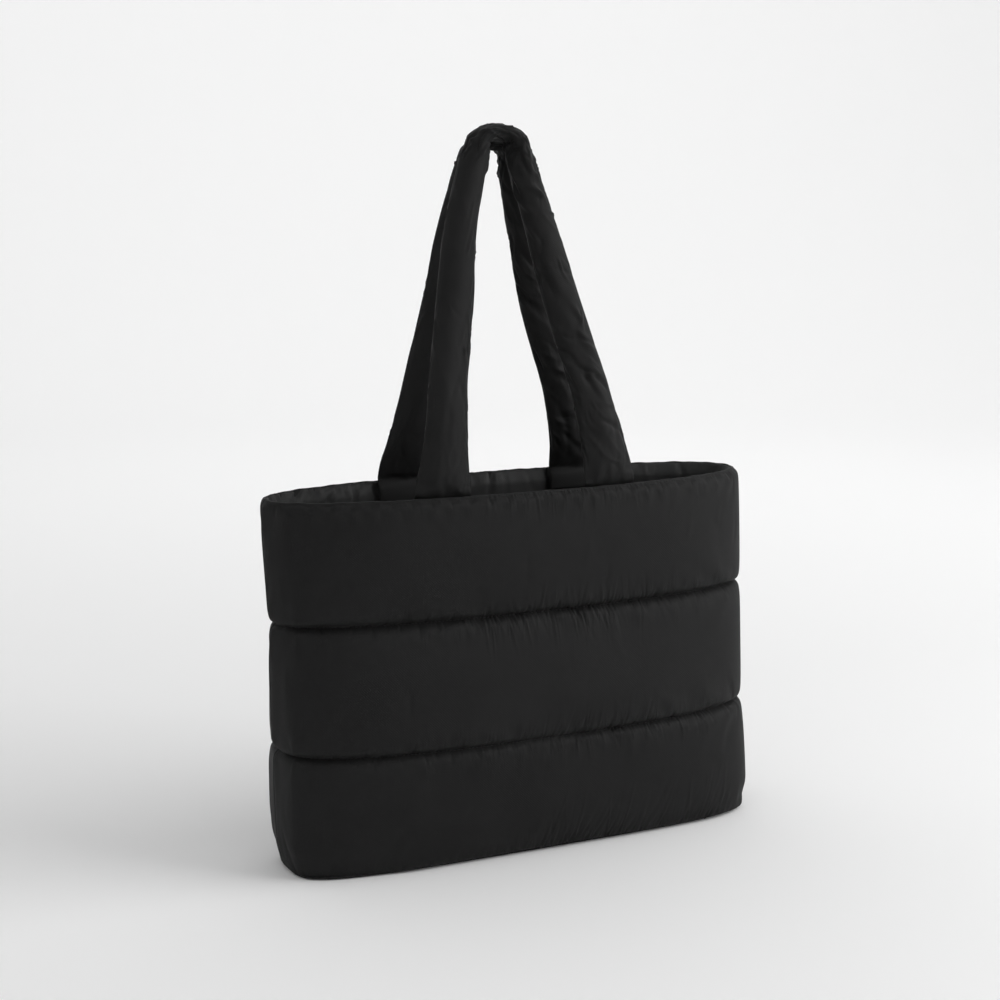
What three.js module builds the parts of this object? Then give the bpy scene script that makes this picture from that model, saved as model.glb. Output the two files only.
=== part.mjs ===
// Puffer tote bag: quilted padded walls on a flat base, a thin lining and two padded tube handles.
// Millimetres, +Z up, +X across the bag, -Y at its front. The origin is on the floor, under the middle.
import * as THREE from "three";
import { LoftGeometry } from "three/addons/geometries/LoftGeometry.js";

// Driving dimensions of the body
const MOUTH_WIDTH = 452;
const MOUTH_DEPTH = 120;
const BODY_HEIGHT = 325;
const BASE_SEAM_HEIGHT = 3.5;
const LOWER_SEAM_HEIGHT = 108;
const UPPER_SEAM_HEIGHT = 218;
const SEAM_WALL = 4;
const OUTER_PUFF = 6;
const INNER_PUFF = 5;
const SIDE_SEAM_PINCH = 3.5;
const SIDE_SEAM_REACH = 45;

// Driving dimensions of the base and the lining
const BASE_THICKNESS = 11;
const BASE_EDGE_ROUND = 2.5;
const BASE_PAD_SLOPE = 12;
const LINING_WALL = 1.5;
const FLOOR_CROWN = 0.5;
const FACING_DEPTH = 4;
const CLEARANCE = 0.3;

// Driving dimensions of the handles
const HANDLE_RISE = 307;
const HANDLE_SPACING = 158;
const HANDLE_FLAT_WIDTH = 50;
const HANDLE_FLAT_THICKNESS = 5;
const HANDLE_TUBE = 33;
const HANDLE_SEWN_LENGTH = 20;
const APEX_THICKNESS = 11;
const APEX_DEPTH = 33;
const APEX_GAP = 3;

// One row for each handle. Side is the wall that it is sewn to, spacing a share of HANDLE_SPACING and
// rise of HANDLE_RISE. Centre and apex are where its legs' middle and its top lie from the bag's middle,
// as shares of MOUTH_WIDTH. Drawn is the share by which its legs are drawn together on their way up.
const HANDLES = [
  { name: "front_handle", side: -1, spacing: 1, centre: -0.02, apex: -0.056, rise: 1, drawn: 0 },
  { name: "back_handle", side: 1, spacing: 1.075, centre: -0.002, apex: -0.032, rise: 0.965, drawn: 0.14 },
];

// The wall's plan outline at five heights. Height is a share of BODY_HEIGHT, width of MOUTH_WIDTH and
// depth of MOUTH_DEPTH. Corner is the roundness: 2 is an ellipse, and more is squarer. Shift moves the
// middle across, as a share of MOUTH_WIDTH.
const LEVELS = [
  { height: 0, width: 0.975, depth: 0.85, corner: 4.2, shift: 0.012 },
  { height: 0.083, width: 0.996, depth: 0.95, corner: 3.7, shift: 0.009 },
  { height: 0.333, width: 0.993, depth: 1.18, corner: 2.6, shift: 0.002 },
  { height: 0.67, width: 0.998, depth: 0.967, corner: 2.3, shift: 0.003 },
  { height: 1, width: 1, depth: 1, corner: 2.3, shift: -0.008 },
];

// One leg of a handle from the rim to the apex. Rise is a share of the handle's own rise, across of
// half its own spacing, lean of the way from its centre to its apex, and inward of the way from the
// wall to the middle. Width is a share of the way from APEX_THICKNESS to HANDLE_FLAT_WIDTH, and depth
// is a share of HANDLE_TUBE. Drape is how much the section still follows the wall's curve.
const LEG = [
  { rise: 0.004, across: 1, lean: 0, inward: 0.015, width: 1, depth: 0.18, drape: 1 },
  { rise: 0.03, across: 0.99, lean: 0.02, inward: 0.03, width: 0.98, depth: 0.4, drape: 0.8 },
  { rise: 0.094, across: 0.955, lean: 0.05, inward: 0.11, width: 0.82, depth: 0.54, drape: 0.3 },
  { rise: 0.205, across: 0.885, lean: 0.15, inward: 0.25, width: 0.69, depth: 0.62, drape: 0 },
  { rise: 0.31, across: 0.815, lean: 0.32, inward: 0.36, width: 0.63, depth: 0.65, drape: 0 },
  { rise: 0.52, across: 0.63, lean: 0.68, inward: 0.57, width: 0.6, depth: 0.67, drape: 0 },
  { rise: 0.714, across: 0.475, lean: 0.94, inward: 0.76, width: 0.48, depth: 0.71, drape: 0 },
  { rise: 0.85, across: 0.33, lean: 1, inward: 0.9, width: 0.39, depth: 0.78, drape: 0 },
  { rise: 0.91, across: 0.265, lean: 1, inward: 0.95, width: 0.33, depth: 0.85, drape: 0 },
  { rise: 0.953, across: 0.215, lean: 1, inward: 0.98, width: 0.18, depth: 0.95, drape: 0 },
  { rise: 0.976, across: 0.12, lean: 1, inward: 1, width: 0.04, depth: 1, drape: 0 },
];

// How finely the forms are cut into facets
const WALL_STEPS = 26;
const OUTER_SHARES = [0, 0.03, 0.1, 0.25, 0.5, 0.75, 0.9, 0.97];
const INNER_SHARES = [0, 0.08, 0.3, 0.7, 0.92];
const SEWN_SHARES = [1, 0.6, 0.25];
const HANDLE_STEPS = 40;
const HANDLE_SIDES = 12;

const NYLON = { color: 0x1b1b1d, roughness: 0.62, metalness: 0 };
const NYLON_LINING = { color: 0x171719, roughness: 0.7, metalness: 0 };

const SEAM_HEIGHTS = [BASE_SEAM_HEIGHT, LOWER_SEAM_HEIGHT, UPPER_SEAM_HEIGHT, BODY_HEIGHT];
const FRONT = Math.PI;
const BACK = 0;

// Makes a bow of share ** 2 * (1 - share) reach 1 where it is highest.
const DRAWN_PEAK = 27 / 4;

const mix = (from, to, share) => from + (to - from) * share;

// The bag's plan outline at one height: half of a superellipse, run anticlockwise from one side seam.
class HalfOutline extends THREE.Curve {
  constructor(level, start) {
    super();
    this.level = level;
    this.start = start;
  }
  getPoint(t, target = new THREE.Vector3()) {
    const { halfWidth, halfDepth, corner, shift } = this.level;
    const angle = this.start + Math.PI * t;
    const stretch = (value) => Math.sign(value) * Math.abs(value) ** (2 / corner);
    const x = shift + halfWidth * stretch(Math.cos(angle));
    return target.set(x, halfDepth * stretch(Math.sin(angle)), 0);
  }
}

// The outline's sizes at a height, read between the rows of the table.
function levelAt(height) {
  const share = THREE.MathUtils.clamp(height / BODY_HEIGHT, 0, 1);
  const above = Math.max(1, LEVELS.findIndex((row) => row.height >= share));
  const [low, high] = [LEVELS[above - 1], LEVELS[above]];
  const way = (share - low.height) / (high.height - low.height);
  return {
    halfWidth: mix(low.width, high.width, way) * MOUTH_WIDTH / 2,
    halfDepth: mix(low.depth, high.depth, way) * MOUTH_DEPTH / 2,
    corner: mix(low.corner, high.corner, way),
    shift: mix(low.shift, high.shift, way) * MOUTH_WIDTH,
  };
}

// A point at a share of the way round half of the wall, moved out of its outline by an offset. Its
// direction is read a little in from the outline's two ends.
const END_SHARE = 0.002;
const outlines = new Map();
function wallPoint(start, share, height, offset) {
  const key = `${start} ${height}`;
  if (!outlines.has(key)) outlines.set(key, new HalfOutline(levelAt(height), start));
  const outline = outlines.get(key);
  const point = outline.getPointAt(share);
  const along = outline.getTangentAt(THREE.MathUtils.clamp(share, END_SHARE, 1 - END_SHARE));
  return new THREE.Vector3(point.x + along.y * offset, point.y - along.x * offset, height);
}

// How full a channel is, from 0 at its seams to 1 in its middle. A higher power is flatter on top.
const PUFF_POWER = 6;
const fullness = (share) => Math.sqrt(1 - Math.abs(2 * share - 1) ** PUFF_POWER);

// The heights of the wall's rows from the base seam to the rim, each with how full the wall is there.
function wallRows(shares) {
  const rows = [];
  for (let channel = 0; channel < SEAM_HEIGHTS.length - 1; channel += 1) {
    const [low, high] = [SEAM_HEIGHTS[channel], SEAM_HEIGHTS[channel + 1]];
    for (const share of shares) rows.push({ height: mix(low, high, share), full: fullness(share) });
  }
  rows.push({ height: BODY_HEIGHT, full: 0 });
  return rows;
}

// How far the wall's inner face lies inside its outline at a height.
function innerOffset(height) {
  const channel = height < LOWER_SEAM_HEIGHT ? 0 : height < UPPER_SEAM_HEIGHT ? 1 : 2;
  const [low, high] = [SEAM_HEIGHTS[channel], SEAM_HEIGHTS[channel + 1]];
  const share = THREE.MathUtils.clamp((height - low) / (high - low), 0, 1);
  return SEAM_WALL + INNER_PUFF * fullness(share);
}

// A padded wall from one side seam to the other: three channels that swell out and in between seams.
function paddedWall(start) {
  const outer = wallRows(OUTER_SHARES);
  const inner = wallRows(INNER_SHARES);
  const foot = BASE_SEAM_HEIGHT + CLEARANCE;
  const seatOf = (height) => Math.max(height, foot);
  const length = new HalfOutline(levelAt(UPPER_SEAM_HEIGHT), start).getLength();
  const gap = CLEARANCE / 2 / length;
  const sections = [];
  for (let step = 0; step <= WALL_STEPS; step += 1) {
    const share = mix(gap, 1 - gap, step / WALL_STEPS);
    const reach = Math.min(share, 1 - share) * length / SIDE_SEAM_REACH;
    const pinch = SIDE_SEAM_PINCH * Math.max(0, 1 - reach) ** 2;
    const section = inner.map((row) =>
      wallPoint(start, share, seatOf(row.height), -SEAM_WALL - INNER_PUFF * row.full));
    for (const row of outer.slice().reverse()) {
      const swell = Math.max(0, OUTER_PUFF - pinch) * row.full;
      section.push(wallPoint(start, share, seatOf(row.height), swell));
    }
    sections.push(section);
  }
  return new LoftGeometry(sections, { capStart: true, capEnd: true });
}

// A closed ring round the whole bag at one height and offset, with the walls' own steps.
function ring(height, offset, outlineHeight = height) {
  const points = [];
  for (const start of [BACK, FRONT]) {
    for (let step = 0; step < WALL_STEPS; step += 1) {
      const point = wallPoint(start, step / WALL_STEPS, outlineHeight, offset);
      points.push(point.setZ(height));
    }
  }
  return points;
}

// The flat padded base: a thin sewn edge that the walls stand on, and a pad inside them.
function basePanel() {
  const inside = SEAM_WALL + INNER_PUFF + CLEARANCE;
  const rows = [
    { height: 0, inset: BASE_EDGE_ROUND },
    { height: BASE_SEAM_HEIGHT / 3, inset: BASE_EDGE_ROUND / 3 },
    { height: BASE_SEAM_HEIGHT * 2 / 3, inset: 0 },
    { height: BASE_SEAM_HEIGHT, inset: BASE_EDGE_ROUND / 3 },
    { height: BASE_SEAM_HEIGHT, inset: inside },
    { height: mix(BASE_SEAM_HEIGHT, BASE_THICKNESS, 3 / 4), inset: inside + BASE_PAD_SLOPE / 3 },
    { height: BASE_THICKNESS, inset: inside + BASE_PAD_SLOPE },
  ];
  const sections = rows.map((row) => ring(row.height, -row.inset, BASE_SEAM_HEIGHT));
  return new LoftGeometry(sections, { capStart: true, capEnd: true });
}

// The lining: a thin open bag just inside the walls, from the base's pad up to the rim's facing. Its
// floor is crowned a little where the pad pushes it up.
function lining() {
  const floor = BASE_THICKNESS + CLEARANCE;
  const top = BODY_HEIGHT - FACING_DEPTH;
  const heights = wallRows(INNER_SHARES).map((row) => row.height);
  const between = heights.filter((height) => height > floor + LINING_WALL && height < top);
  const outerFace = (height) => ring(height, -innerOffset(height) - CLEARANCE);
  const innerFace = (height) => ring(height, -innerOffset(height) - CLEARANCE - LINING_WALL);
  const sections = [
    ...[floor, ...between, top].map(outerFace),
    ...[top, ...between.slice().reverse(), floor + LINING_WALL].map(innerFace),
    ring(floor + LINING_WALL + FLOOR_CROWN, -innerOffset(floor) - BASE_PAD_SLOPE, floor),
  ];
  return new LoftGeometry(sections, { capStart: true, capEnd: true });
}

// The depth of the lining's inner face from the bag's middle, at a place across and a height.
function liningDepth(x, height) {
  const { halfWidth, halfDepth, corner, shift } = levelAt(height);
  const share = Math.min(1, Math.abs((x - shift) / halfWidth));
  const depth = halfDepth * (1 - share ** corner) ** (1 / corner);
  return depth - innerOffset(height) - CLEARANCE - LINING_WALL;
}

// A padded tube handle: flat where each end is sewn on, round up its legs, pressed flat at its apex.
function tubeHandle({ side, drawn, ...shares }) {
  const rise = shares.rise * HANDLE_RISE;
  const halfSpacing = shares.spacing * HANDLE_SPACING / 2;
  const centre = shares.centre * MOUTH_WIDTH;
  const apex = shares.apex * MOUTH_WIDTH;
  const flatHalf = HANDLE_FLAT_THICKNESS / 2 + CLEARANCE * 2;
  const apexSeat = (APEX_DEPTH + APEX_GAP) / 2;
  const legRow = (row, hand) => {
    const together = 1 - drawn * DRAWN_PEAK * row.rise ** 2 * (1 - row.rise);
    const x = mix(centre, apex, row.lean) + hand * row.across * together * halfSpacing;
    const rimSeat = liningDepth(centre + hand * halfSpacing, BODY_HEIGHT) - flatHalf;
    const y = side * mix(rimSeat, apexSeat, row.inward);
    return {
      place: new THREE.Vector3(x, y, BODY_HEIGHT + row.rise * rise),
      size: new THREE.Vector3(
        mix(APEX_THICKNESS, HANDLE_FLAT_WIDTH, row.width), row.depth * HANDLE_TUBE, row.drape),
    };
  };
  const sewnRow = (down, hand) => {
    const x = centre + hand * halfSpacing;
    const height = BODY_HEIGHT - down * HANDLE_SEWN_LENGTH;
    return {
      place: new THREE.Vector3(x, side * (liningDepth(x, height) - flatHalf), height),
      size: new THREE.Vector3(HANDLE_FLAT_WIDTH, HANDLE_FLAT_THICKNESS, 1),
    };
  };
  const halfRows = (hand) => [
    ...SEWN_SHARES.map((down) => sewnRow(down, hand)), ...LEG.map((row) => legRow(row, hand))];
  const top = {
    place: new THREE.Vector3(apex, side * apexSeat, BODY_HEIGHT + rise - APEX_THICKNESS / 2),
    size: new THREE.Vector3(APEX_THICKNESS, APEX_DEPTH, 0),
  };
  const rows = [...halfRows(-1), top, ...halfRows(1).reverse()];
  const centreLine = new THREE.CatmullRomCurve3(rows.map((row) => row.place), false, "catmullrom", 0.5);
  const sizes = new THREE.CatmullRomCurve3(rows.map((row) => row.size), false, "catmullrom", 0.5);
  const sections = [];
  for (let step = 0; step <= HANDLE_STEPS; step += 1) {
    const t = step / HANDLE_STEPS;
    const place = centreLine.getPoint(t);
    const size = sizes.getPoint(t);
    const along = centreLine.getTangent(t);
    const outward = new THREE.Vector3(0, 1, 0).addScaledVector(along, -along.y).normalize();
    const across = new THREE.Vector3().crossVectors(outward, along);
    const bow = (x) => size.z * side * (liningDepth(x, place.z) - liningDepth(place.x, place.z));
    const section = [];
    for (let corner = 0; corner < HANDLE_SIDES; corner += 1) {
      const angle = (2 * Math.PI * corner) / HANDLE_SIDES;
      const point = place.clone()
        .addScaledVector(across, Math.cos(angle) * size.x / 2)
        .addScaledVector(outward, Math.sin(angle) * size.y / 2);
      section.push(point.setY(point.y + bow(point.x)));
    }
    sections.push(section);
  }
  return new LoftGeometry(sections, { capStart: true, capEnd: true });
}

function named(name, geometry, finish) {
  const mesh = new THREE.Mesh(geometry, new THREE.MeshStandardMaterial(finish));
  mesh.name = name;
  return mesh;
}

const bag = new THREE.Group();
bag.add(named("front_panel", paddedWall(FRONT), NYLON));
bag.add(named("back_panel", paddedWall(BACK), NYLON));
bag.add(named("base_panel", basePanel(), NYLON));
bag.add(named("lining", lining(), NYLON_LINING));
for (const handle of HANDLES) bag.add(named(handle.name, tubeHandle(handle), NYLON));

export default bag;
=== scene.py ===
import math

import bpy
import numpy as np
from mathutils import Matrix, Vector


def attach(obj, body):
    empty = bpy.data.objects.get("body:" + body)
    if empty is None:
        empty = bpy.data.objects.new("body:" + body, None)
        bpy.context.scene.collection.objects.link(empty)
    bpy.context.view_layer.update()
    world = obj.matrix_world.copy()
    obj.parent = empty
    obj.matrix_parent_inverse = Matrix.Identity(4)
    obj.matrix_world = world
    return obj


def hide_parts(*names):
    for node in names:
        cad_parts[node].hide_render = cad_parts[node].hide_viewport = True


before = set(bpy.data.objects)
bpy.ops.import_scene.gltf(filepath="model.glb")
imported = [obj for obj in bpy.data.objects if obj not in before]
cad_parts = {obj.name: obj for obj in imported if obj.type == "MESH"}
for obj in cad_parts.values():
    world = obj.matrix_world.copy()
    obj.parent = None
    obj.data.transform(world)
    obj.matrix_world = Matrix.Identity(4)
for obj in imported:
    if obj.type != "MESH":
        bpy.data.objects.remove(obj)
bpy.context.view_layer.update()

# The studio: a pale paper floor that sweeps up into round walls, so that no horizon shows, and a camera
# a little above the bag's rim. Daylight falls in from above, a large soft panel stands at the right, and
# a second one behind the bag washes the paper with light.
SWEEP_RADIUS = 5.0
SWEEP_HEIGHT = 4.6
SWEEP_COVE = 2.2
SWEEP_SIDES = 96
COVE_STEPS = 16
FLOOR_DROP = 0.0003
VIEW_AZIMUTH = math.radians(-25)
VIEW_ELEVATION = math.radians(10)
VIEW_DISTANCE = 1.590
VIEW_AIM = Vector((-0.0135, 0, 0.3079))
LENS = 65.0
DAYLIGHT = 0.55
SOFT_PANEL = {"place": (2.4, -1.4, 1.8), "aim": (0, 0, 0.25), "size": 2.4, "power": 63}
PAPER_WASH = {"place": (0.9, 1.3, 2.7), "aim": (1.2, 5, 1.4), "size": 1.6, "power": 27}


def colour(sheet):
    """The linear colour of an sRGB hex value."""
    shares = [int(sheet[i:i + 2], 16) / 255 for i in (1, 3, 5)]
    linear = [s / 12.92 if s <= 0.04045 else ((s + 0.055) / 1.055) ** 2.4 for s in shares]
    return (*linear, 1)


def add_node(tree, kind, inputs=(), **settings):
    """Adds a node with its settings. An input is given a value, or the socket that it is linked to."""
    node = tree.nodes.new(kind)
    for name, value in settings.items():
        setattr(node, name, value)
    for name, value in dict(inputs).items():
        if isinstance(value, bpy.types.NodeSocket):
            tree.links.new(value, node.inputs[name])
        else:
            node.inputs[name].default_value = value
    return node


def new_material(name):
    """An empty material, its node tree and its output."""
    material = bpy.data.materials.new(name)
    material.use_nodes = True
    material.node_tree.nodes.clear()
    return material, material.node_tree, add_node(material.node_tree, "ShaderNodeOutputMaterial")


def look_from(piece, place, aim):
    """Puts a camera or a light at a place, turned to look at a point."""
    piece.location = place
    piece.rotation_euler = (Vector(place) - Vector(aim)).to_track_quat("Z", "Y").to_euler()


back_of_view = Vector((
    math.sin(VIEW_AZIMUTH) * math.cos(VIEW_ELEVATION),
    -math.cos(VIEW_AZIMUTH) * math.cos(VIEW_ELEVATION),
    math.sin(VIEW_ELEVATION)))
camera = bpy.data.objects.new("camera", bpy.data.cameras.new("camera"))
camera.data.lens = LENS
bpy.context.scene.collection.objects.link(camera)
look_from(camera, VIEW_AIM + VIEW_DISTANCE * back_of_view, VIEW_AIM)
bpy.context.scene.camera = camera
bpy.context.scene.view_settings.view_transform = "Standard"

bpy.ops.object.select_all(action="DESELECT")
bpy.ops.mesh.primitive_circle_add(
    vertices=SWEEP_SIDES, radius=SWEEP_RADIUS - SWEEP_COVE, fill_type="NGON", location=(0, 0, -FLOOR_DROP))
sweep = bpy.context.object
sweep.name = "studio_sweep"
bpy.ops.object.transform_apply(location=True)
bpy.ops.object.mode_set(mode="EDIT")
bpy.ops.mesh.select_mode(type="EDGE")
radius, height = SWEEP_RADIUS - SWEEP_COVE, 0
for turn in np.linspace(0, math.pi / 2, COVE_STEPS + 1)[1:].tolist() + [None]:
    wider = SWEEP_RADIUS if turn is None else SWEEP_RADIUS - SWEEP_COVE * (1 - math.sin(turn))
    higher = SWEEP_HEIGHT if turn is None else SWEEP_COVE * (1 - math.cos(turn))
    bpy.ops.mesh.extrude_edges_move(TRANSFORM_OT_translate={"value": (0, 0, higher - height)})
    bpy.ops.transform.resize(value=(wider / radius, wider / radius, 1))
    radius, height = wider, higher
bpy.ops.mesh.select_all(action="SELECT")
bpy.ops.mesh.normals_make_consistent(inside=False)
bpy.ops.object.mode_set(mode="OBJECT")
bpy.ops.object.shade_smooth()

# Pale background paper: dead matt, with no sheen of its own.
paper, tree, out = new_material("matt background paper")
shader = add_node(tree, "ShaderNodeBsdfPrincipled", {
    "Base Color": colour("#fbfbfb"), "Roughness": 0.95, "Specular IOR Level": 0.1})
tree.links.new(shader.outputs[0], out.inputs["Surface"])
sweep.data.materials.append(paper)

world = bpy.data.worlds.new("daylight")
world.use_nodes = True
world.node_tree.nodes["Background"].inputs["Color"].default_value = (1, 1, 1, 1)
world.node_tree.nodes["Background"].inputs["Strength"].default_value = DAYLIGHT
bpy.context.scene.world = world
for name, light in (("soft_panel", SOFT_PANEL), ("paper_wash", PAPER_WASH)):
    lamp = bpy.data.objects.new(name, bpy.data.lights.new(name, "AREA"))
    lamp.data.size = light["size"]
    lamp.data.energy = light["power"]
    bpy.context.scene.collection.objects.link(lamp)
    look_from(lamp, light["place"], light["aim"])

# The base: one flat padded panel of the same black nylon. Its sewn edge is a narrow bead that the walls
# stand on, and its pad lies inside them. Its underside is flat, because the bag rests on it.
MOUTH_WIDTH = 0.452
MOUTH_DEPTH = 0.120
RIM_HEIGHT = 0.325
BASE_SEAM_HEIGHT = 0.0035
LOWER_SEAM_HEIGHT = 0.108
UPPER_SEAM_HEIGHT = 0.218
SEAM_HEIGHTS = [BASE_SEAM_HEIGHT, LOWER_SEAM_HEIGHT, UPPER_SEAM_HEIGHT, RIM_HEIGHT]
SEAM_WALL = 0.004
OUTER_PUFF = 0.006
INNER_PUFF = 0.005
CLEARANCE = 0.0003
BASE_THICKNESS = 0.011
BASE_EDGE_ROUND = 0.0025
BASE_BEAD = 0.0006
BASE_PAD_SLOPE = 0.012
BASE_HALF_COLUMNS = 150
RING_NARROWING = 0.1
OUTLINE_POINTS = 4001
OUTLINE_STEP = 0.002
HALF_LENGTH_POINTS = 400

# The bag's plan outline at five heights, each length a share of RIM_HEIGHT, MOUTH_WIDTH or MOUTH_DEPTH.
# Corner is the roundness: 2 is an ellipse, and more is squarer. Shift moves the middle across.
LEVELS = [
    {"height": 0, "width": 0.975, "depth": 0.85, "corner": 4.2, "shift": 0.012},
    {"height": 0.083, "width": 0.996, "depth": 0.95, "corner": 3.7, "shift": 0.009},
    {"height": 0.333, "width": 0.993, "depth": 1.18, "corner": 2.6, "shift": 0.002},
    {"height": 0.67, "width": 0.998, "depth": 0.967, "corner": 2.3, "shift": 0.003},
    {"height": 1, "width": 1, "depth": 1, "corner": 2.3, "shift": -0.008},
]


def level_at(height):
    """The outline's half width, half depth, corner and shift at a height."""
    share = np.clip(height / RIM_HEIGHT, 0, 1)
    width, depth, corner, shift = (
        np.interp(share, [row["height"] for row in LEVELS], [row[name] for row in LEVELS])
        for name in ("width", "depth", "corner", "shift"))
    return width * MOUTH_WIDTH / 2, depth * MOUTH_DEPTH / 2, corner, shift * MOUTH_WIDTH


def outline(shares, height, side, offset=0):
    """Points at shares of the way round one half of the bag, from its left seam, moved out by an offset."""
    half_width, half_depth, corner, shift = level_at(height)
    angle = np.linspace(0, math.pi, OUTLINE_POINTS)
    curve = np.stack([
        -np.sign(np.cos(angle)) * np.abs(np.cos(angle)) ** (2 / corner) * half_width,
        np.sin(angle) ** (2 / corner) * half_depth], 1)
    length = np.concatenate([[0], np.cumsum(np.linalg.norm(np.diff(curve, axis=0), axis=1))])
    length /= length[-1]

    def read(at):
        return np.stack([np.interp(at, length, curve[:, 0]), np.interp(at, length, curve[:, 1])], 1)

    place = read(shares)
    inside = np.clip(shares, 2 * OUTLINE_STEP, 1 - 2 * OUTLINE_STEP)
    along = read(inside + OUTLINE_STEP) - read(inside - OUTLINE_STEP)
    along /= np.linalg.norm(along, axis=1)[:, None]
    place += np.stack([-along[:, 1], along[:, 0]], 1) * np.reshape(offset, (-1, 1))
    return np.column_stack([place[:, 0] + shift, place[:, 1] * side, np.full(len(shares), height)])


def half_length(height):
    """How long one half of the bag's outline is at a height."""
    line = outline(np.linspace(0, 1, HALF_LENGTH_POINTS), height, 1)
    return np.linalg.norm(np.diff(line, axis=0), axis=1).sum()


def ring(columns, height, offset, outline_height=None):
    """A closed ring round the whole bag, with as many columns to each half."""
    shares = np.arange(columns) / columns
    level = height if outline_height is None else outline_height
    points = np.concatenate([outline(shares, level, -1, offset), outline(1 - shares, level, 1, offset)])
    points[:, 2] = height
    return points


def ring_cap(columns):
    """Faces that close a ring from its front half straight across to its back half."""
    count = 2 * columns
    quads = [(j, j + 1, count - j - 1, count - j) for j in range(1, columns - 1)]
    return [(0, 1, count - 1), *quads, (columns - 1, columns, columns + 1)]


def shown(name, mesh):
    """Puts a mesh in the scene as a piece, with its faces turned outward and shaded smooth."""
    piece = bpy.data.objects.new(name, mesh)
    bpy.context.scene.collection.objects.link(piece)
    bpy.ops.object.select_all(action="DESELECT")
    piece.select_set(True)
    bpy.context.view_layer.objects.active = piece
    bpy.ops.object.mode_set(mode="EDIT")
    bpy.ops.mesh.select_all(action="SELECT")
    bpy.ops.mesh.normals_make_consistent(inside=False)
    bpy.ops.object.mode_set(mode="OBJECT")
    bpy.ops.object.shade_smooth()
    return piece


def loft(name, grid, uv, first_cap=(), last_cap=()):
    """A mesh over a grid of points: sections one after the other, each a closed ring of rows. The UV grid
    has one row more, so that the cloth doesn't jump where a ring closes."""
    sections, rows = grid.shape[:2]
    faces, corners = [], []
    for i in range(sections - 1):
        for j in range(rows):
            k = (j + 1) % rows
            faces.append((i * rows + j, (i + 1) * rows + j, (i + 1) * rows + k, i * rows + k))
            corners += [(i, j), (i + 1, j), (i + 1, j + 1), (i, j + 1)]
    for section, cap in ((0, first_cap), (sections - 1, last_cap)):
        for face in cap:
            faces.append(tuple(section * rows + j for j in face))
            corners += [(section, j) for j in face]
    mesh = bpy.data.meshes.new(name)
    mesh.from_pydata(grid.reshape(-1, 3).tolist(), [], faces)
    corners = np.array(corners)
    mesh.uv_layers.new(name="cloth").data.foreach_set("uv", uv[corners[:, 0], corners[:, 1]].ravel())
    return shown(name, mesh)


def closed(grid):
    """A grid of UV places with its first row again at the end."""
    return np.concatenate([grid, grid[:, :1]], axis=1)


# Black nylon: a dense plain weave with a soft dull sheen. The eye sees an even near-black with a faint
# grain, paler where it turns away. The threads are 0.2 mm apart, drawn at 1.1 mm so that they show.
# Where a piece's "gather" attribute is above 0, the cloth is drawn up in tiny upright wrinkles.
NYLON_THREAD = 0.0011
WRINKLE_WIDTH = 0.0024
WRINKLE_LENGTH = 0.012
WRINKLE_DEPTH = 0.0012
nylon, tree, out = new_material("black nylon plain weave")
cut = add_node(tree, "ShaderNodeUVMap", uv_map="cloth")
place = add_node(tree, "ShaderNodeTexCoord")
cloud = add_node(tree, "ShaderNodeTexNoise", {
    "Vector": place.outputs["Object"], "Scale": 14, "Detail": 4, "Roughness": 0.55})
tone = add_node(tree, "ShaderNodeMapRange", {
    "Value": cloud.outputs["Fac"], "From Min": 0.3, "From Max": 0.7})
tint = add_node(tree, "ShaderNodeMix", {
    "Factor": tone.outputs[0], 6: colour("#111111"), 7: colour("#171717")}, data_type="RGBA")
threads = add_node(tree, "ShaderNodeVectorMath", {
    0: cut.outputs["UV"], 1: (math.pi / NYLON_THREAD,) * 3}, operation="MULTIPLY")
split = add_node(tree, "ShaderNodeSeparateXYZ", {0: threads.outputs[0]})
warp = add_node(tree, "ShaderNodeMath", {0: split.outputs["X"]}, operation="SINE")
weft = add_node(tree, "ShaderNodeMath", {0: split.outputs["Y"]}, operation="SINE")
gather = add_node(tree, "ShaderNodeAttribute", attribute_name="gather")
drawn_out = add_node(tree, "ShaderNodeVectorMath", {
    0: cut.outputs["UV"], 1: (1 / WRINKLE_WIDTH, 1 / WRINKLE_LENGTH, 1)}, operation="MULTIPLY")
wrinkle = add_node(tree, "ShaderNodeTexNoise", {
    "Vector": drawn_out.outputs[0], "Scale": 1, "Detail": 3, "Roughness": 0.6, "Distortion": 0.4})
wrinkled = add_node(tree, "ShaderNodeMath", {
    0: wrinkle.outputs["Fac"], 1: gather.outputs["Fac"]}, operation="MULTIPLY")
bump_wrinkle = add_node(tree, "ShaderNodeBump", {
    "Strength": 1, "Distance": WRINKLE_DEPTH, "Height": wrinkled.outputs[0]})
weave = add_node(tree, "ShaderNodeMath", {0: warp.outputs[0], 1: weft.outputs[0]}, operation="MULTIPLY")
grain = add_node(tree, "ShaderNodeTexNoise", {
    "Vector": place.outputs["Object"], "Scale": 900, "Detail": 2, "Roughness": 0.6})
bump_weave = add_node(tree, "ShaderNodeBump", {
    "Strength": 0.15, "Distance": 0.0002, "Height": weave.outputs[0], "Normal": bump_wrinkle.outputs[0]})
bump_grain = add_node(tree, "ShaderNodeBump", {
    "Strength": 0.2, "Distance": 0.0003, "Height": grain.outputs["Fac"], "Normal": bump_weave.outputs[0]})
shader = add_node(tree, "ShaderNodeBsdfPrincipled", {
    "Base Color": tint.outputs[2], "Roughness": 0.68, "IOR": 1.53, "Specular IOR Level": 0.17,
    "Sheen Weight": 0.02, "Sheen Roughness": 0.4, "Sheen Tint": colour("#9c9c9c"),
    "Normal": bump_grain.outputs[0]})
tree.links.new(shader.outputs[0], out.inputs["Surface"])

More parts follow.
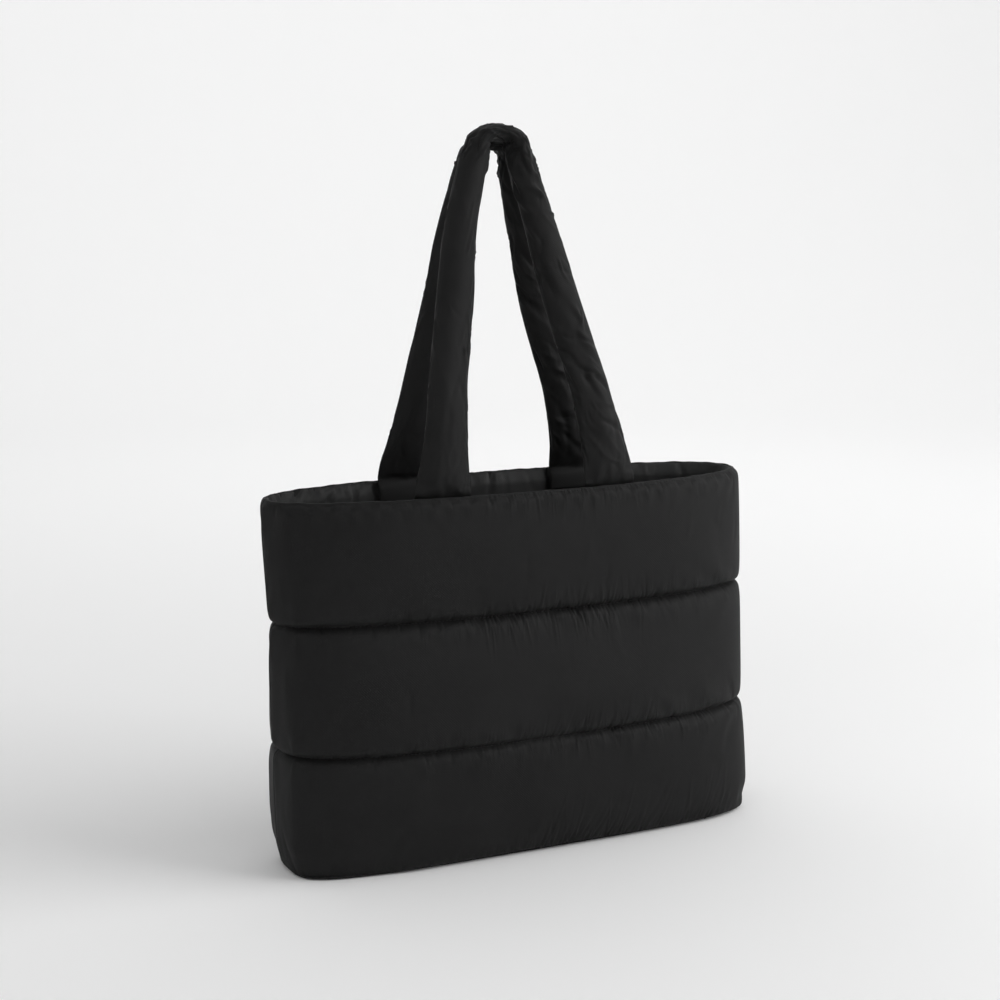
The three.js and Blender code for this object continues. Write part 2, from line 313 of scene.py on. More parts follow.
# The base's rings from the middle of its underside, round its sewn edge and over its pad. Inset is how
# far a ring lies inside the outline, and closed how far its two halves have come together.
pad_inset = SEAM_WALL + INNER_PUFF + CLEARANCE
BASE_RINGS = [
    {"height": 0, "inset": BASE_EDGE_ROUND, "closed": 0.95},
    {"height": 0, "inset": BASE_EDGE_ROUND, "closed": 0.7},
    {"height": 0, "inset": BASE_EDGE_ROUND, "closed": 0.4},
    {"height": 0, "inset": BASE_EDGE_ROUND, "closed": 0.15},
    {"height": 0, "inset": BASE_EDGE_ROUND, "closed": 0},
    {"height": BASE_SEAM_HEIGHT * 0.1, "inset": BASE_EDGE_ROUND * 0.3, "closed": 0},
    {"height": BASE_SEAM_HEIGHT * 0.35, "inset": -BASE_BEAD, "closed": 0},
    {"height": BASE_SEAM_HEIGHT * 0.65, "inset": -BASE_BEAD, "closed": 0},
    {"height": BASE_SEAM_HEIGHT * 0.9, "inset": BASE_EDGE_ROUND * 0.3, "closed": 0},
    {"height": BASE_SEAM_HEIGHT, "inset": BASE_EDGE_ROUND, "closed": 0},
    {"height": BASE_SEAM_HEIGHT, "inset": pad_inset, "closed": 0},
    {"height": BASE_THICKNESS * 0.8, "inset": pad_inset + BASE_PAD_SLOPE * 0.3, "closed": 0},
    {"height": BASE_THICKNESS, "inset": pad_inset + BASE_PAD_SLOPE, "closed": 0},
    {"height": BASE_THICKNESS, "inset": pad_inset + BASE_PAD_SLOPE, "closed": 0.5},
    {"height": BASE_THICKNESS, "inset": pad_inset + BASE_PAD_SLOPE, "closed": 0.95},
]
grid = np.array([
    ring(BASE_HALF_COLUMNS, row["height"], -row["inset"], BASE_SEAM_HEIGHT)
    * (1 - RING_NARROWING * row["closed"], 1 - row["closed"], 1) for row in BASE_RINGS])
base = loft("padded_base_panel", grid, closed(grid[:, :, :2]),
            ring_cap(BASE_HALF_COLUMNS), ring_cap(BASE_HALF_COLUMNS))
base.data.materials.append(nylon)
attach(base, "root")
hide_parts("base_panel")

# The front and back panels: each is one width of black nylon over thick fill, stitched through in two
# lines, which leaves three full channels. It is rolled over at the rim and sewn to the other at the sides.
# It is pinched and grooved at its side seams, and drawn in by LEFT_FLAT and LEFT_TUCK near the left one.
SIDE_SEAM_PINCH = {"left": 0.0018, "right": 0.0035}
SIDE_SEAM_REACH = 0.045
SIDE_SEAM_SINK = 0.0004
SIDE_SEAM_GROOVE = 0.002
LEFT_FLAT = {"depth": 0.003, "reach": 0.028}
LEFT_TUCK = {"depth": 0.0065, "reach": 0.115}
SEAM_SINK = 0.0024
CHANNEL_SAG = {"drop": 0.0012, "fall": 1}
LOWEST_SAG = {"drop": 0.011, "fall": 8}
SEAM_SLIT = 0.006
FLOOR_GAP = 0.0004
RIM_WAVE = 0.0009
RIM_WAVE_REACH = 0.02
RIM_ROLL = 0.002
PUFF_POWER = 9
PANEL_COLUMNS = 320
CHANNEL_ROWS = 20
INNER_ROWS = 4
RIM_ROWS = 5
EASE = 0.65
RIM_WAVE_TURNS = (9, 16, 29)
PANEL_STUFFING = {"spare": 0.08, "pressure": 3, "cap": 0.008}
PANEL_EVENING = 60
BROAD_KEPT = 0.25
FINE_KEPT = 0.7
CLOTH_STEPS = 16
CLOTH = {
    "quality": 4, "mass": 0.2, "tension_stiffness": 12, "compression_stiffness": 12, "shear_stiffness": 4,
    "bending_stiffness": 0.05}
CREASE = {
    "narrow": 0.6, "widening": 0.6, "start": 6, "fade": 1.2, "edge": 1.5, "furrow": 0.5, "furrow_width": 2.2}


def mix(low, high, share):
    """The value at a share of the way from low to high."""
    return low + (high - low) * share


def fullness(share):
    """How full a channel is, from 0 at its seams to 1 in its middle."""
    return np.sqrt(np.clip(1 - np.abs(2 * share - 1) ** PUFF_POWER, 0, 1))


def eased(count):
    """Shares from 0 to 1, closer together at both ends."""
    even = np.linspace(0, 1, count + 1)
    return (1 - EASE) * even + EASE * (1 - np.cos(math.pi * even)) / 2


def outer_shares(count):
    """Shares of a channel's height: one at each edge of its seams' slits, and eased ones between them."""
    return np.concatenate([[0], SEAM_SLIT + (1 - 2 * SEAM_SLIT) * eased(count - 2), [1]])


def panel_rows():
    """The rows of a panel's section, up its outer face, over the rim and down its inner face. Full is how
    full the channel is there, free whether the cloth may move, and outer whether it lies outside."""
    rows = []
    channels = list(zip(SEAM_HEIGHTS, SEAM_HEIGHTS[1:]))
    for low, high in channels:
        top = high - (RIM_ROLL if high == RIM_HEIGHT else 0)
        sag = LOWEST_SAG if low == BASE_SEAM_HEIGHT else CHANNEL_SAG
        for share in outer_shares(CHANNEL_ROWS)[:-1]:
            full = fullness(np.clip((share - SEAM_SLIT) / (1 - 2 * SEAM_SLIT), 0, 1))
            stitched_down = low > BASE_SEAM_HEIGHT if share < 0.5 else high < RIM_HEIGHT
            sink = SEAM_SINK if stitched_down else 0
            rows.append({
                "height": low + (top - low) * share - sag["drop"] * full * (1 - share) ** sag["fall"],
                "offset": OUTER_PUFF * full - sink * (1 - full), "full": full,
                "free": share > 0, "outer": True})
    for turn in np.linspace(0, math.pi, RIM_ROWS):
        rows.append({
            "height": RIM_HEIGHT - RIM_ROLL * (1 - math.sin(turn)),
            "offset": -RIM_ROLL * (1 - math.cos(turn)), "full": 0, "free": False,
            "outer": turn < 0.6 * math.pi})
    for low, high in reversed(channels):
        top = high - (RIM_ROLL if high == RIM_HEIGHT else 0)
        for share in np.linspace(1, 0, INNER_ROWS + 1)[1:]:
            rows.append({
                "height": low + (top - low) * share, "offset": -SEAM_WALL - INNER_PUFF * fullness(share),
                "full": 0, "free": False, "outer": False})
    rows[0]["height"] = rows[-1]["height"] = BASE_SEAM_HEIGHT + CLEARANCE
    return rows


def left_dip(height, from_left):
    """How far the outer face is drawn in near the left side seam, where the wall lies flat, and tucked in
    round its corner at the foot."""
    above = np.clip(height / LOWER_SEAM_HEIGHT, 0, 1)
    flat = np.sin(math.pi * np.clip(from_left / LEFT_FLAT["reach"], 0, 1))
    tuck = np.sin(math.pi * np.clip(from_left / LEFT_TUCK["reach"], 0, 1))
    return LEFT_FLAT["depth"] * flat * above ** 0.5 + LEFT_TUCK["depth"] * tuck * (1 - above) ** 3


def strip(first, second, heights):
    """Triangles that join two runs of a section's rows, taken up by height."""
    faces = []
    i = j = 0
    while i < len(first) - 1 or j < len(second) - 1:
        take_first = j == len(second) - 1 or (
            i < len(first) - 1 and heights[first[i + 1]] <= heights[second[j + 1]])
        if take_first:
            faces.append((first[i], first[i + 1], second[j]))
            i += 1
        else:
            faces.append((first[i], second[j + 1], second[j]))
            j += 1
    return faces


def points_of(piece):
    """A piece's points as an array."""
    points = np.zeros(len(piece.data.vertices) * 3)
    piece.data.vertices.foreach_get("co", points)
    return points.reshape(-1, 3)


def set_points(piece, points):
    """Moves a piece's points."""
    piece.data.vertices.foreach_set("co", points.ravel())
    piece.data.update()


def outward_of(piece):
    """The outward directions at a piece's points."""
    normals = np.zeros(len(piece.data.vertices) * 3)
    piece.data.vertex_normals.foreach_get("vector", normals)
    return normals.reshape(-1, 3)


def cloth_places(piece):
    """Where each point lies on the cut cloth, from the piece's UV map: along and up, in metres."""
    index = np.zeros(len(piece.data.loops), int)
    piece.data.loops.foreach_get("vertex_index", index)
    uv = np.zeros(len(index) * 2)
    piece.data.uv_layers["cloth"].data.foreach_get("uv", uv)
    places = np.zeros((len(piece.data.vertices), 2))
    places[index] = uv.reshape(-1, 2)
    return places


def stuff(piece, held, tight, spare, pressure, cap):
    """Blows a piece up as cloth. Held points stay, tight ones have no width to spare, and a cap limits how
    far the rest move. Gives how far each point moved."""
    start = points_of(piece)
    for name, weights in (("held", held), ("tight", tight)):
        group = piece.vertex_groups.new(name=name)
        steps = np.round(weights * 10) / 10
        for weight in np.unique(steps[steps > 0]):
            group.add(np.flatnonzero(steps == weight).tolist(), float(weight), "REPLACE")
    bpy.context.view_layer.objects.active = piece
    cloth = piece.modifiers.new("stuffing", "CLOTH")
    for name, value in CLOTH.items():
        setattr(cloth.settings, name, value)
    cloth.settings.vertex_group_mass = "held"
    cloth.settings.vertex_group_shrink = "tight"
    cloth.settings.shrink_min = -spare
    cloth.settings.shrink_max = 0
    cloth.settings.use_pressure = True
    cloth.settings.uniform_pressure_force = pressure
    cloth.settings.effector_weights.gravity = 0
    cloth.collision_settings.use_collision = False
    for step in range(1, CLOTH_STEPS + 1):
        bpy.context.scene.frame_set(step)
    bpy.ops.object.modifier_apply(modifier=cloth.name)
    bpy.context.scene.frame_set(1)
    piece.vertex_groups.clear()
    moved = points_of(piece) - start
    far = np.linalg.norm(moved, axis=1)
    return moved * np.minimum(1, cap / np.maximum(far, 1e-9))[:, None]


def evened(values, rounds, wrap=False):
    """Values on a grid of sections and rows, evened out with their neighbours as often as asked."""
    for _ in range(rounds):
        wide = np.pad(values, [(1, 1), (0, 0), (0, 0)], mode="edge")
        wide = np.pad(wide, [(0, 0), (1, 1), (0, 0)], mode="wrap" if wrap else "edge")
        values = (wide[:-2, 1:-1] + wide[2:, 1:-1] + wide[1:-1, :-2] + wide[1:-1, 2:] + 4 * values) / 8
    return values


def subdivide(piece):
    """Halves a piece's faces once each way, smoothly."""
    bpy.context.view_layer.objects.active = piece
    finer = piece.modifiers.new("finer", "SUBSURF")
    finer.levels = finer.render_levels = 1
    finer.uv_smooth = "NONE"
    bpy.ops.object.modifier_apply(modifier=finer.name)


def creased(places, creases):
    """The depth, at places on the cloth, of creases that each run from a start at an angle, with a bow."""
    order = np.argsort(places[:, 0])
    sorted_along = places[order, 0]
    depth = np.zeros(len(places))
    for crease in creases:
        reach = crease["length"] + 4 * crease["width"]
        window = order[np.searchsorted(sorted_along, crease["along"] - reach):
                       np.searchsorted(sorted_along, crease["along"] + reach)]
        gap = places[window] - (crease["along"], crease["up"])
        cos, sin = math.cos(crease["angle"]), math.sin(crease["angle"])
        way = (gap[:, 0] * cos + gap[:, 1] * sin) / crease["length"]
        off = -gap[:, 0] * sin + gap[:, 1] * cos - crease["bow"] * 4 * way * (1 - way)
        off = off / (crease["width"] * (CREASE["narrow"] + CREASE["widening"] * np.clip(way, 0, 1)))
        taper = np.clip(way * CREASE["start"] + 1, 0, 1) * np.clip(1 - way, 0, 1) ** CREASE["fade"]
        beside = CREASE["furrow"] * np.exp(-(off / CREASE["furrow_width"]) ** 2)
        profile = np.exp(-np.abs(off) ** CREASE["edge"]) - beside
        depth[window] += crease["depth"] * taper * profile
    return depth


# Where the fine puckers lie on a panel: on which seam and which side of it (1 above, -1 below), over which
# share of its width, how many, and how long, deep and leaning (a slope) they are, in millimetres. Their
# width is in millimetres as well.
PUCKER_COLUMNS = ("seam", "side", "start", "end", "count", "length", "depth", "lean")
PUCKERS = [
    (UPPER_SEAM_HEIGHT, 1, 0.02, 0.98, 80, 6, 0.55, 0),
    (UPPER_SEAM_HEIGHT, 1, 0.46, 0.72, 60, 24, 1.4, -0.1),
    (UPPER_SEAM_HEIGHT, -1, 0.02, 0.98, 80, 6, 0.55, 0),
    (UPPER_SEAM_HEIGHT, -1, 0.36, 0.70, 70, 26, 1.4, 0.1),
    (LOWER_SEAM_HEIGHT, 1, 0.02, 0.98, 80, 6, 0.5, 0),
    (LOWER_SEAM_HEIGHT, 1, 0.48, 0.74, 45, 24, 1.4, 0.35),
    (LOWER_SEAM_HEIGHT, -1, 0.02, 0.98, 80, 6, 0.5, 0),
    (LOWER_SEAM_HEIGHT, -1, 0.55, 0.85, 36, 20, 1.1, 0.2),
    (BASE_SEAM_HEIGHT, 1, 0.02, 0.98, 90, 9, 0.5, 0),
    (BASE_SEAM_HEIGHT, 1, 0.50, 0.88, 100, 42, 1.4, 0.25),
    (RIM_HEIGHT, -1, 0.02, 0.98, 90, 6, 0.25, 0),
    (RIM_HEIGHT, -1, 0.40, 0.75, 50, 26, 0.7, 0.05),
]
PUCKER_WIDTH = 0.8
PUCKER_BUNCHES = 9
BUNCH_SPREAD = 0.012
PUCKER_MARGIN = 0.006
# How the puckers and the broad dimples vary. Each pair is a range: for a pucker of the table's value, and
# for a dimple in metres, but along in shares of the width. A lean spread or bow is a standard deviation.
PUCKER_RANGES = {"length": (0.4, 1.5), "width": (0.8, 2.6), "depth": (0.2, 1.1)}
PUCKER_LEAN_SPREAD = 0.18
PUCKER_BOW = 0.0008
DIMPLES = 90
DIMPLE_RANGES = {
    "along": (0.02, 0.95), "up": (0.01, RIM_HEIGHT), "length": (0.02, 0.05), "width": (0.004, 0.010),
    "depth": (-0.0007, 0.0007)}
DIMPLE_BOW = 0.004
# Where the cloth is gathered: a band along each seam with a ragged edge, fullest at the middle share. A
# ragged row is how much the band's reach varies and how fast, in radians for each metre of cloth.
GATHER_REACH = 0.009
GATHER_LEAST = 0.002
GATHER_RAGGED = {"wide": (0.5, 210), "narrow": (0.4, 470)}
GATHER_MIDDLE = 0.6
GATHER_SPREAD = 0.22
GATHER_LOW = 0.3


def varied(row, ranges, bow, chance):
    """A crease's length, width and depth, each a random share of a table's value, and its bow."""
    return {
        "length": row["length"] / 1000 * chance.uniform(*ranges["length"]),
        "width": row["width"] / 1000 * chance.uniform(*ranges["width"]),
        "depth": row["depth"] / 1000 * chance.uniform(*ranges["depth"]) * chance.choice([-1, 1]),
        "bow": chance.normal(0, bow)}


def puckers(width, seed):
    """The creases of the table's rows, with lengths, depths, places and leans that vary, and a few broad
    and shallow dimples that lie anywhere."""
    chance = np.random.default_rng(seed)
    creases = []
    for values in PUCKERS:
        row = dict(zip(PUCKER_COLUMNS, values), width=PUCKER_WIDTH)
        bunches = chance.uniform(row["start"], row["end"], PUCKER_BUNCHES)
        for _ in range(row["count"]):
            share = chance.choice([chance.uniform(row["start"], row["end"]),
                                   chance.normal(chance.choice(bunches), BUNCH_SPREAD)])
            lean = row["lean"] + chance.normal(0, PUCKER_LEAN_SPREAD)
            creases.append({
                "along": width * share,
                "up": row["seam"], "angle": row["side"] * (math.pi / 2 - lean),
                **varied(row, PUCKER_RANGES, PUCKER_BOW, chance)})
    for _ in range(DIMPLES):
        creases.append({
            "along": width * chance.uniform(*DIMPLE_RANGES["along"]),
            "up": chance.uniform(*DIMPLE_RANGES["up"]),
            "angle": chance.uniform(0, 2 * math.pi),
            "length": chance.uniform(*DIMPLE_RANGES["length"]),
            "width": chance.uniform(*DIMPLE_RANGES["width"]),
            "depth": chance.uniform(*DIMPLE_RANGES["depth"]),
            "bow": chance.normal(0, DIMPLE_BOW)})
    return creases


def padded_panel(name, side, seed):
    """One padded wall: a lofted section that is stuffed as cloth, made finer and then puckered."""
    rows = panel_rows()
    width = half_length(UPPER_SEAM_HEIGHT)
    gap = CLEARANCE / 2 / width
    edge = gap + CLEARANCE / width
    shares = np.concatenate([[gap], np.linspace(edge, 1 - edge, PANEL_COLUMNS - 1), [1 - gap]])
    from_seam = np.minimum(shares, 1 - shares) * width
    pinch = np.where(shares < 0.5, SIDE_SEAM_PINCH["left"], SIDE_SEAM_PINCH["right"])
    pinch *= np.maximum(0, 1 - from_seam / SIDE_SEAM_REACH) ** 2
    pinch += SIDE_SEAM_SINK * np.maximum(0, 1 - from_seam / SIDE_SEAM_GROOVE) ** 2
    climbs = [0]
    for below, row in zip(rows, rows[1:] + rows[:1]):
        step = math.hypot(row["height"] - below["height"], row["offset"] - below["offset"])
        climbs.append(climbs[-1] + step)
    grid = np.zeros((PANEL_COLUMNS + 1, len(rows), 3))
    for j, row in enumerate(rows):
        offset = np.full(len(shares), row["offset"])
        if row["outer"]:
            offset -= (pinch + left_dip(row["height"], shares * width)) * row["full"]
        grid[:, j] = outline(shares, row["height"], side, offset)
    chance = np.random.default_rng(seed)
    wave = sum(np.sin(2 * math.pi * (shares * turns + chance.uniform())) for turns in RIM_WAVE_TURNS)
    wave /= len(RIM_WAVE_TURNS)
    near_rim = np.clip(1 - (RIM_HEIGHT - grid[:, :, 2]) / RIM_WAVE_REACH, 0, 1) ** 2
    grid[:, :, 2] -= RIM_WAVE * (1 + wave[:, None]) / 2 * near_rim
    uv = np.stack(np.broadcast_arrays((shares * width)[:, None], np.array(climbs)[None]), 2)
    outer = [j for j, row in enumerate(rows) if row["outer"]]
    inner = [j for j, row in enumerate(rows) if not row["outer"]][::-1]
    cap = strip(outer, inner, [row["height"] for row in rows])
    piece = loft(name, grid, uv, cap, cap)
    ends = np.array([i in (0, PANEL_COLUMNS) for i in range(PANEL_COLUMNS + 1)])
    held = np.maximum(ends[:, None], [not row["free"] for row in rows]).astype(float)
    tight = np.broadcast_to([row["full"] ** 2 for row in rows], held.shape)
    moved = stuff(piece, held.ravel(), tight.ravel(), **PANEL_STUFFING)
    moved = moved.reshape(grid.shape)
    broad = evened(moved, PANEL_EVENING)
    set_points(piece, (grid + BROAD_KEPT * broad + FINE_KEPT * (moved - broad)).reshape(-1, 3))
    subdivide(piece)
    places = cloth_places(piece)
    points = points_of(piece)
    rim = climbs[outer[-1]]
    flat = np.stack([places[:, 0], points[:, 2]], 1)
    depth = creased(flat, puckers(width, seed)) * (places[:, 1] < rim)
    depth *= np.clip(np.minimum(places[:, 0], width - places[:, 0]) / PUCKER_MARGIN, 0, 1)
    points = points - outward_of(piece) * depth[:, None]
    points[:, 2] = np.maximum(points[:, 2], FLOOR_GAP)
    set_points(piece, points)
    (wide, slow), (narrow, fast) = GATHER_RAGGED["wide"], GATHER_RAGGED["narrow"]
    ragged = 1 + wide * np.sin(places[:, 0] * slow + seed) + narrow * np.sin(places[:, 0] * fast)
    gather = sum(np.exp(-(np.abs(flat[:, 1] - seam) / (GATHER_REACH * ragged + GATHER_LEAST)) ** 2)
                 for seam in SEAM_HEIGHTS) * (places[:, 1] < rim)
    gather *= mix(GATHER_LOW, 1, np.exp(-((places[:, 0] / width - GATHER_MIDDLE) / GATHER_SPREAD) ** 2))
    piece.data.attributes.new("gather", "FLOAT", "POINT").data.foreach_set("value", gather)
    return piece


PANELS = [
    {"node": "front_panel", "side": -1, "seed": 11},
    {"node": "back_panel", "side": 1, "seed": 23},
]
for row in PANELS:
    panel = padded_panel("padded_" + row["node"], row["side"], row["seed"])
    panel.data.materials.append(nylon)
    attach(panel, "root")
    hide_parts(row["node"])

# The quilting thread: black polyester, in short stitches that lie at the bottom of each channel seam.
STITCH_LENGTH = 0.0026
STITCH_PITCH = 0.0034
THREAD = 0.0005
THREAD_PROUD = 0.0002
STITCH_AHEAD = 0.001
STITCH_BLUNTNESS = 0.7
STITCHED_SHARES = (0.004, 0.996)
STITCHED_POINTS = 300

thread_black, tree, out = new_material("black polyester thread")
place = add_node(tree, "ShaderNodeTexCoord")
twist = add_node(tree, "ShaderNodeTexNoise", {"Vector": place.outputs["Object"], "Scale": 2500, "Detail": 1})
bump = add_node(tree, "ShaderNodeBump", {"Strength": 0.4, "Distance": 0.0001, "Height": twist.outputs["Fac"]})
shader = add_node(tree, "ShaderNodeBsdfPrincipled", {
    "Base Color": colour("#161616"), "Roughness": 0.5, "IOR": 1.55, "Normal": bump.outputs[0]})
tree.links.new(shader.outputs[0], out.inputs["Surface"])


def stitched(name, lines):
    """One mesh of stitches along lines. A line is its points and the outward directions there."""
    bpy.ops.object.select_all(action="DESELECT")
    bpy.ops.mesh.primitive_uv_sphere_add(segments=6, ring_count=5, radius=0.5)
    pattern = bpy.context.object
    shape = points_of(pattern)
    shape[:, 0] = np.sign(shape[:, 0]) * np.abs(2 * shape[:, 0]) ** STITCH_BLUNTNESS / 2
    pattern_faces = [np.array(face.vertices) for face in pattern.data.polygons]
    pattern_mesh = pattern.data
    bpy.data.objects.remove(pattern)
    bpy.data.meshes.remove(pattern_mesh)
    points, faces = [], []
    for line, outward in lines:
        length = np.concatenate([[0], np.cumsum(np.linalg.norm(np.diff(line, axis=0), axis=1))])
        for start in np.arange(STITCH_PITCH / 2, length[-1] - STITCH_PITCH / 2, STITCH_PITCH):
            middle, ahead, out_way = (
                np.array([np.interp(at, length, values[:, axis]) for axis in range(3)])
                for at, values in ((start, line), (start + STITCH_AHEAD, line), (start, outward)))
            along = (ahead - middle) / np.linalg.norm(ahead - middle)
            over = np.cross(out_way, along)
            faces += [tuple(face + len(points) * len(shape)) for face in pattern_faces]
            points.append(middle + THREAD_PROUD * out_way + shape[:, :1] * STITCH_LENGTH * along
                          + shape[:, 1:2] * THREAD * over + shape[:, 2:] * THREAD * out_way)
    mesh = bpy.data.meshes.new(name)
    mesh.from_pydata(np.concatenate(points).tolist(), [], faces)
    piece = shown(name, mesh)
    piece.data.materials.append(thread_black)
    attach(piece, "root")
    return piece


shares = np.linspace(*STITCHED_SHARES, STITCHED_POINTS)
quilting = []
for height in (LOWER_SEAM_HEIGHT, UPPER_SEAM_HEIGHT):
    for side in (-1, 1):
        line = outline(shares, height, side, -SEAM_SINK)
        outward = outline(shares, height, side, 1) - outline(shares, height, side, 0)
        quilting.append((line, outward))
stitched("quilting_stitches", quilting)

# The lining: a thin black nylon bag that hangs from the rim inside the walls. It is caught in the same
# seams as they are, so it swells between them, and it gathers in folds under the rim.
LINING_THICKNESS = 0.0008
LINING_TOP = 0.0012
LINING_FACING = 0.010
LINING_COLUMNS = 180
LINING_BAND = {"reach": 0.06, "rows": 31, "ease": 1.2}
LINING_CHANNEL_ROWS = 9
LINING_FOOT = 0.002
LINING_FLOOR = (0, 0.5, 0.95)
# Where the lining's folds lie: in front (-1) or at the back (1), over which share of that side from the
# left, how many, how long, deep and wide in millimetres, and how far they lean, in radians.
LINING_FOLD_COLUMNS = ("side", "start", "end", "count", "length", "depth", "width", "lean")
LINING_FOLDS = [
    (-1, 0, 1, 70, 30, 2.0, 2.6, 0),
    (1, 0, 1, 60, 26, 3.0, 2.4, 0),
    (1, 0, 1, 18, 60, 6, 4.5, 0),
    (1, 0.02, 0.3, 18, 50, 5.5, 4, 0.75),
]
LINING_FOLD_TOP = 0.004
LINING_LEAN_SPREAD = 0.16
LINING_FOLD_RANGES = {"length": (0.5, 1.5), "width": (0.7, 1.4), "depth": (0.3, 1.1)}
FOLD_BOW = 0.002
LINING_RISE = 0.0002


def inner_offset(height):
    """How far inside the outline the walls' inner face lies at a height."""
    channel = int(np.clip(np.searchsorted(SEAM_HEIGHTS, height) - 1, 0, len(SEAM_HEIGHTS) - 2))
    low, high = SEAM_HEIGHTS[channel], SEAM_HEIGHTS[channel + 1]
    faced = np.clip((RIM_HEIGHT - LINING_TOP - height) / LINING_FACING, 0, 1) ** 0.5
    return SEAM_WALL + INNER_PUFF * fullness(np.clip((height - low) / (high - low), 0, 1)) * faced


band = LINING_BAND["reach"] * np.linspace(0, 1, LINING_BAND["rows"]) ** LINING_BAND["ease"]
heights = np.concatenate([
    RIM_HEIGHT - LINING_TOP - band,
    *[high - (high - low) * eased(LINING_CHANNEL_ROWS)[1:] for low, high in
      ((UPPER_SEAM_HEIGHT, RIM_HEIGHT - LINING_TOP - LINING_BAND["reach"]),
       (LOWER_SEAM_HEIGHT, UPPER_SEAM_HEIGHT), (BASE_THICKNESS + LINING_FOOT, LOWER_SEAM_HEIGHT))]])
sections = [ring(LINING_COLUMNS, height, -inner_offset(height) - CLEARANCE) for height in heights]
floor_height = BASE_THICKNESS + CLEARANCE
floor_ring = ring(LINING_COLUMNS, floor_height, -pad_inset - BASE_PAD_SLOPE, BASE_THICKNESS)
for together in LINING_FLOOR:
    sections.append(floor_ring * (1 - RING_NARROWING * together, 1 - together, 1))
grid = np.array(sections)
round_way = np.linspace(0, 2 * half_length(UPPER_SEAM_HEIGHT), 2 * LINING_COLUMNS + 1)
uv = np.stack(np.broadcast_arrays(round_way[None], grid[:, :1, 2]), 2)
lining = loft("gathered_lining", grid, uv, (), ring_cap(LINING_COLUMNS))
chance = np.random.default_rng(5)
folds = []
for values in LINING_FOLDS:
    row = dict(zip(LINING_FOLD_COLUMNS, values))
    for _ in range(row["count"]):
        share = chance.uniform(row["start"], row["end"])
        folds.append({
            "along": round_way[-1] * (share / 2 if row["side"] < 0 else 1 - share / 2),
            "up": RIM_HEIGHT - chance.uniform(0, LINING_FOLD_TOP),
            "angle": -math.pi / 2 + (row["lean"] + chance.normal(0, LINING_LEAN_SPREAD)) * row["side"],
            **varied(row, LINING_FOLD_RANGES, FOLD_BOW, chance)})
depth = creased(np.stack([cloth_places(lining)[:, 0], points_of(lining)[:, 2]], 1), folds)
set_points(lining, points_of(lining) - outward_of(lining) * np.maximum(depth, -LINING_RISE)[:, None])
thick = lining.modifiers.new("thick", "SOLIDIFY")
thick.thickness = LINING_THICKNESS
thick.offset = -1
bpy.ops.object.modifier_apply(modifier=thick.name)

# Black nylon lining: a thinner plain weave of the same yarn, a little smoother. Its tint is painted paler
# than the outer nylon's, as painted light for the light that falls inside the bag.
lining_nylon_painted_paler = nylon.copy()
lining_nylon_painted_paler.name = "black nylon lining"
for node in lining_nylon_painted_paler.node_tree.nodes:
    if node.type == "BSDF_PRINCIPLED":
        node.inputs["Roughness"].default_value = 0.6
        node.inputs["Specular IOR Level"].default_value = 0.3
    # Painted light: a paler tint than the outer nylon's, standing in for light inside the bag.
    if node.type == "MIX":
        node.inputs[6].default_value = colour("#171717")
        node.inputs[7].default_value = colour("#1d1d1d")
lining.data.materials.append(lining_nylon_painted_paler)
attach(lining, "root")
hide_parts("lining")

# The handles: two soft tubes of the same nylon, each with one lengthwise seam on its inner edge and a
# light fill. Their ends are pressed flat and sewn inside the rim, and their tops fold over flat.
HANDLE_RISE = 0.307
HANDLE_SPACING = 0.158
HANDLE_FLAT_WIDTH = 0.050
HANDLE_FLAT_THICKNESS = 0.005
HANDLE_TUBE = 0.033
HANDLE_SEWN_LENGTH = 0.020
HANDLE_SEWN_ROWS = (1, 0.6, 0.25)
APEX_THICKNESS = 0.011
APEX_DEPTH = 0.033
APEX_GAP = 0.003
LINING_ROOM = 0.0015
HANDLE_SEAM = {"depth": 0.0004, "width": 0.0010}
HANDLE_SECTIONS = 260
HANDLE_SIDES = 48
HANDLE_EDGE = 1.3
CURVE_STEPS = 24
LEAST_DRAPE = 0.01
HANDLE_STUFFING = {"spare": 0.03, "pressure": 3, "cap": 0.006}
HANDLE_EVENING = 80
HANDLE_FINE_KEPT = 0.8

# One row for each handle. Spacing and rise are shares of the sizes above, centre and apex of MOUTH_WIDTH.
# Drawn is the share by which its legs are drawn together on their way up, most where rise ** 2 * (1 - rise)
# peaks, at 1 / DRAWN_PEAK.
DRAWN_PEAK = 27 / 4
HANDLES = [
    {"node": "front_handle", "side": -1, "spacing": 1, "centre": -0.02, "apex": -0.056,
     "rise": 1, "drawn": 0, "seed": 3},
    {"node": "back_handle", "side": 1, "spacing": 1.075, "centre": -0.002, "apex": -0.032,
     "rise": 0.965, "drawn": 0.14, "seed": 8},
]

# One leg from the rim to the apex. Rise is a share of the handle's rise, across of half its spacing, lean
# of the way from centre to apex, and inward of the way from the wall to the middle. Width is a share of
# the way from APEX_THICKNESS to HANDLE_FLAT_WIDTH, depth of HANDLE_TUBE, and drape how much the section
# follows the wall.
LEG_COLUMNS = ("rise", "across", "lean", "inward", "width", "depth", "drape")
LEG = [
    (0.004, 1, 0, 0.015, 1, 0.18, 1),
    (0.03, 0.99, 0.02, 0.03, 0.98, 0.34, 0.8),
    (0.094, 0.955, 0.05, 0.11, 0.82, 0.5, 0.3),
    (0.205, 0.885, 0.15, 0.25, 0.69, 0.62, 0),
    (0.31, 0.815, 0.32, 0.36, 0.63, 0.65, 0),
    (0.52, 0.63, 0.68, 0.57, 0.6, 0.67, 0),
    (0.714, 0.475, 0.94, 0.76, 0.48, 0.71, 0),
    (0.85, 0.33, 1, 0.9, 0.39, 0.78, 0),
    (0.91, 0.265, 1, 0.95, 0.33, 0.85, 0),
    (0.953, 0.215, 1, 0.98, 0.18, 0.95, 0),
    (0.976, 0.12, 1, 1, 0.04, 1, 0),
]


